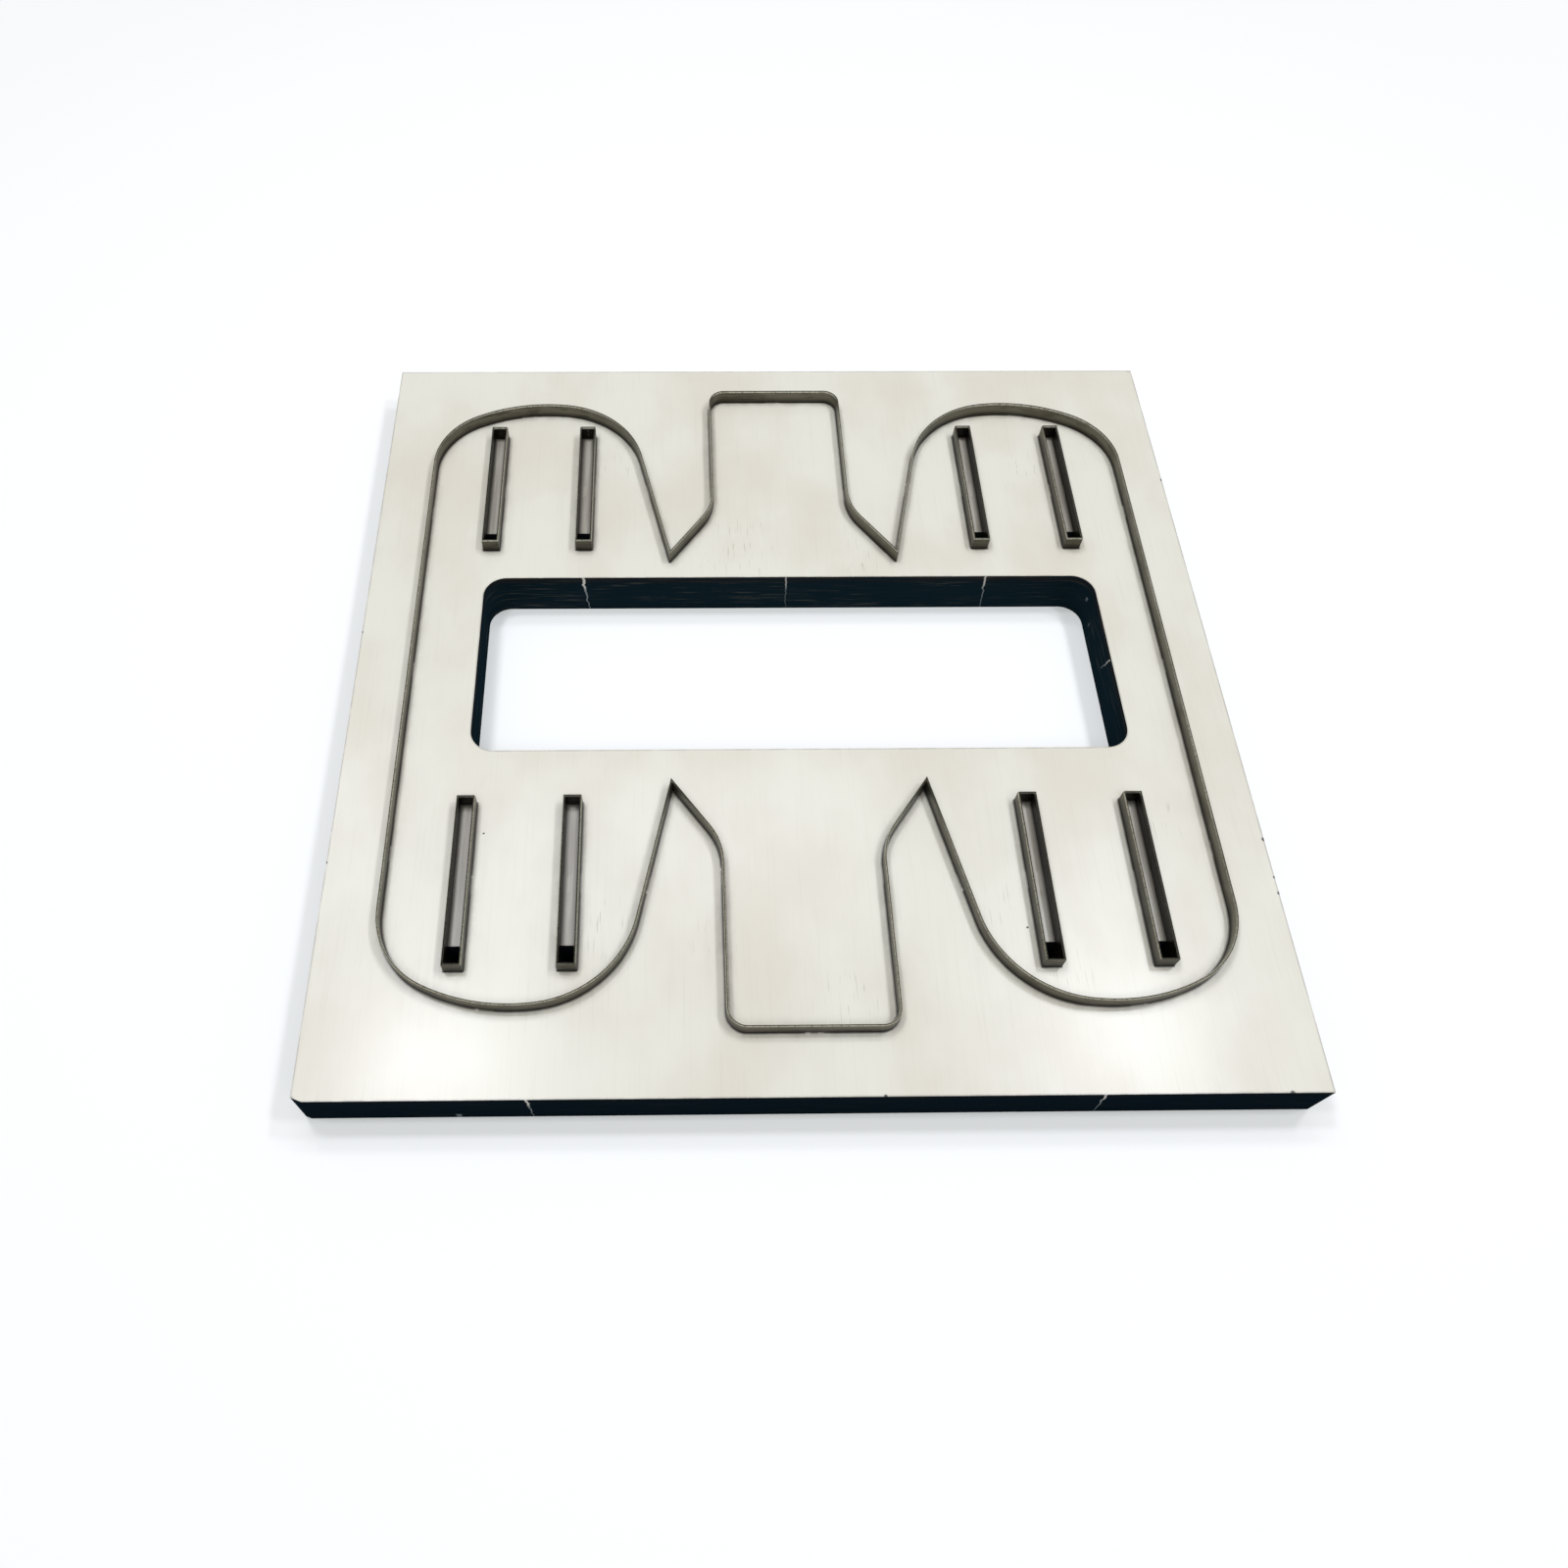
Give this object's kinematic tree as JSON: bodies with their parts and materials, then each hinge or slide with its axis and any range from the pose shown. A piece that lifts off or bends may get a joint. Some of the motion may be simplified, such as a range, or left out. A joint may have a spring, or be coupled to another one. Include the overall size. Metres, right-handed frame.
{
  "type": "leather cutting die",
  "caption": "Steel-rule cutting die for a leather blank: bent bevelled rules and slot punches standing in a laser-cut plywood board with a rounded rectangular window",
  "frame": {"origin": "middle of the board's underside, on the plane that the die stands on", "axes": "+Z is the way the cutting edges point; X runs along the window's long side; Y runs along the slots and the board's face grain, and the butt joints and clearing holes of the slot punches set +Y as the far side"},
  "size_m": [0.3, 0.3, 0.0238],
  "materials": {
    "plywood": "pale veneer faces, laser-charred black edges",
    "rule_steel": "dark hardened strip, ground bright at the cutting edge"
  },
  "bodies": {
    "root": {"die_board": "plywood", "left_lobe_rule": "rule_steel", "right_lobe_rule": "rule_steel", "top_tab_rule": "rule_steel", "bottom_tab_rule": "rule_steel", "top_left_outer_slot_punch": "rule_steel", "top_left_inner_slot_punch": "rule_steel", "top_right_outer_slot_punch": "rule_steel", "top_right_inner_slot_punch": "rule_steel", "bottom_left_outer_slot_punch": "rule_steel", "bottom_left_inner_slot_punch": "rule_steel", "bottom_right_outer_slot_punch": "rule_steel", "bottom_right_inner_slot_punch": "rule_steel"}
  },
  "joints": []
}
